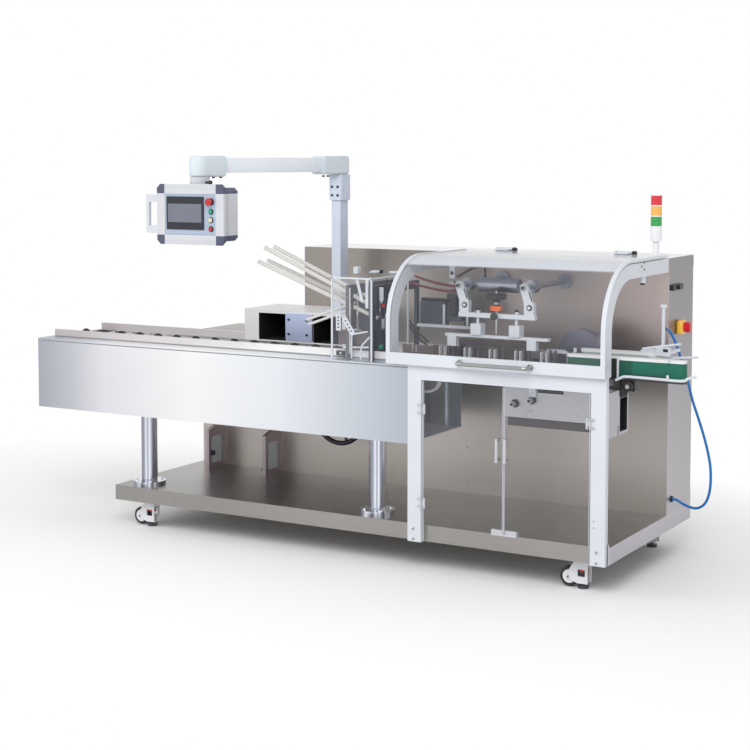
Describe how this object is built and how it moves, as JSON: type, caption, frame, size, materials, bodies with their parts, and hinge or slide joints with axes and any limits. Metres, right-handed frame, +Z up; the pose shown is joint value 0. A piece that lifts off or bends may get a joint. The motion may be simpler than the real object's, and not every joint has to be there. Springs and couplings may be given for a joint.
{
  "type": "automatic cartoner",
  "caption": "Floor-standing packaging machine: bucket chain infeed, slanted carton magazine, clear hood over the carton track, discharge belts and an operator panel on a swing arm.",
  "frame": {"origin": "on the floor, under the middle of the part without its air hose", "axes": "+X along the line to the discharge end, +Y to the back cabinet, +Z up"},
  "size_m": [3.357, 1.4862, 1.831],
  "materials": {
    "brushed_stainless": "brushed stainless sheet",
    "satin_stainless": "bright satin stainless sheet",
    "machined_aluminium": "machined and clear anodised",
    "machined_steel": "bright machined steel",
    "dark_machine_steel": "dark finished steel",
    "chrome_steel": "polished hard chrome",
    "dark_bucket": "dark moulded buckets",
    "white_frame": "white satin paint",
    "clear_sheet": "clear acrylic sheet",
    "green_belt": "green flat belt",
    "isolator_yellow": "yellow moulded plastic",
    "signal_red": "red moulded plastic",
    "black_plastic": "black moulded plastic",
    "pale_plastic": "pale grey moulded plastic",
    "green_lens": "green lamp lens",
    "amber_lens": "amber lamp lens",
    "red_lens": "red lamp lens",
    "arm_grey": "light grey powder coat",
    "panel_grey": "blue grey anodised profile",
    "slate_plastic": "slate blue corner caps",
    "black_glass": "black screen bezel",
    "blue_hose": "blue air hose",
    "caster_white": "pale painted fork",
    "wheel_black": "black wheel"
  },
  "bodies": {
    "machine": {"plinth": "brushed_stainless", "cabinet": "brushed_stainless", "isolator_base": "isolator_yellow", "cabinet_latch": "black_plastic", "support_gussets": "machined_aluminium", "infeed_skirts": "satin_stainless", "infeed_pan": "satin_stainless", "infeed_legs": "chrome_steel", "guide_rails": "machined_aluminium", "bucket_chain": "dark_bucket", "table_plate": "satin_stainless", "pusher_housing": "machined_aluminium", "pusher_plate": "machined_aluminium", "magazine_rods": "chrome_steel", "magazine_frame": "dark_machine_steel", "magazine_guard": "clear_sheet", "machine_bed": "machined_aluminium", "carton_chain": "machined_steel", "guard_frame": "white_frame", "side_arches": "white_frame", "door_hardware": "machined_steel", "hood_hinges": "machined_steel", "press_carrier": "machined_aluminium", "press_bar": "white_frame", "discharge_frame": "machined_aluminium", "discharge_belts": "green_belt", "adjuster_post": "machined_steel", "drive_box": "machined_aluminium", "air_hose": "blue_hose", "hose_fittings": "machined_steel", "tower_body": "pale_plastic", "green_lamp": "green_lens", "amber_lamp": "amber_lens", "red_lamp": "red_lens", "arm_column": "arm_grey", "caster_plates": "machined_steel"},
    "hood": {"hood_sheet": "clear_sheet", "hood_frame": "white_frame", "hood_handle": "chrome_steel"},
    "left_leaf": {"left_door": "clear_sheet", "left_door_fittings": "machined_steel"},
    "right_leaf": {"right_door": "clear_sheet", "right_door_fittings": "machined_steel"},
    "arm": {"panel_arm": "arm_grey"},
    "panel": {"panel_case": "panel_grey", "panel_corners": "slate_plastic", "panel_screen": "black_glass", "panel_buttons": "signal_red", "panel_handle": "pale_plastic"},
    "isolator": {"isolator_knob": "signal_red"},
    "crank": {"hand_wheel": "black_plastic"},
    "fork_1": {"caster_fork_1": "caster_white"},
    "wheel_1": {"caster_wheel_1": "wheel_black"},
    "fork_2": {"caster_fork_2": "caster_white"},
    "wheel_2": {"caster_wheel_2": "wheel_black"},
    "fork_3": {"caster_fork_3": "caster_white"},
    "wheel_3": {"caster_wheel_3": "wheel_black"},
    "fork_4": {"caster_fork_4": "caster_white"},
    "wheel_4": {"caster_wheel_4": "wheel_black"}
  },
  "joints": [
    {"name": "hood_lift", "type": "hinge", "parent": "machine", "child": "hood", "pos_m": [0.889, 0.41309, 1.393], "axis": [-1, 0, 0], "range_deg": [0, 75]},
    {"name": "left_door_swing", "type": "hinge", "parent": "machine", "child": "left_leaf", "pos_m": [0.54, -0.32341, 0.535], "axis": [0, 0, -1], "range_deg": [0, 110]},
    {"name": "right_door_swing", "type": "hinge", "parent": "machine", "child": "right_leaf", "pos_m": [1.331, -0.32341, 0.535], "axis": [0, 0, 1], "range_deg": [0, 110]},
    {"name": "arm_swing", "type": "hinge", "parent": "machine", "child": "arm", "pos_m": [-0.2205, 0.24709, 1.742], "axis": [0, 0, 1], "range_deg": [-90, 30]},
    {"name": "panel_swivel", "type": "hinge", "parent": "arm", "child": "panel", "pos_m": [-0.40908, -0.64009, 1.725], "axis": [0, 0, 1], "range_deg": [-90, 90]},
    {"name": "isolator_turn", "type": "hinge", "parent": "machine", "child": "isolator", "pos_m": [1.4325, 0.54109, 1.055], "axis": [1, 0, 0], "range_deg": [0, 90]},
    {"name": "hand_wheel_turn", "type": "hinge", "parent": "machine", "child": "crank", "pos_m": [-0.2475, 0.28709, 0.549], "axis": [0, 1, 0], "continuous": true},
    {"name": "caster_swivel_1", "type": "hinge", "parent": "machine", "child": "fork_1", "pos_m": [-1.0475, -0.18891, 0.075], "axis": [0, 0, 1], "continuous": true},
    {"name": "wheel_spin_1", "type": "hinge", "parent": "fork_1", "child": "wheel_1", "pos_m": [-1.1075, -0.18891, 0.046], "axis": [0, 1, 0], "continuous": true},
    {"name": "caster_swivel_2", "type": "hinge", "parent": "machine", "child": "fork_2", "pos_m": [1.2525, -0.18891, 0.075], "axis": [0, 0, 1], "continuous": true},
    {"name": "wheel_spin_2", "type": "hinge", "parent": "fork_2", "child": "wheel_2", "pos_m": [1.1925, -0.18891, 0.046], "axis": [0, 1, 0], "continuous": true},
    {"name": "caster_swivel_3", "type": "hinge", "parent": "machine", "child": "fork_3", "pos_m": [-1.0475, 0.64309, 0.075], "axis": [0, 0, 1], "continuous": true},
    {"name": "wheel_spin_3", "type": "hinge", "parent": "fork_3", "child": "wheel_3", "pos_m": [-1.1075, 0.64309, 0.046], "axis": [0, 1, 0], "continuous": true},
    {"name": "caster_swivel_4", "type": "hinge", "parent": "machine", "child": "fork_4", "pos_m": [1.2525, 0.64309, 0.075], "axis": [0, 0, 1], "continuous": true},
    {"name": "wheel_spin_4", "type": "hinge", "parent": "fork_4", "child": "wheel_4", "pos_m": [1.1925, 0.64309, 0.046], "axis": [0, 1, 0], "continuous": true}
  ]
}
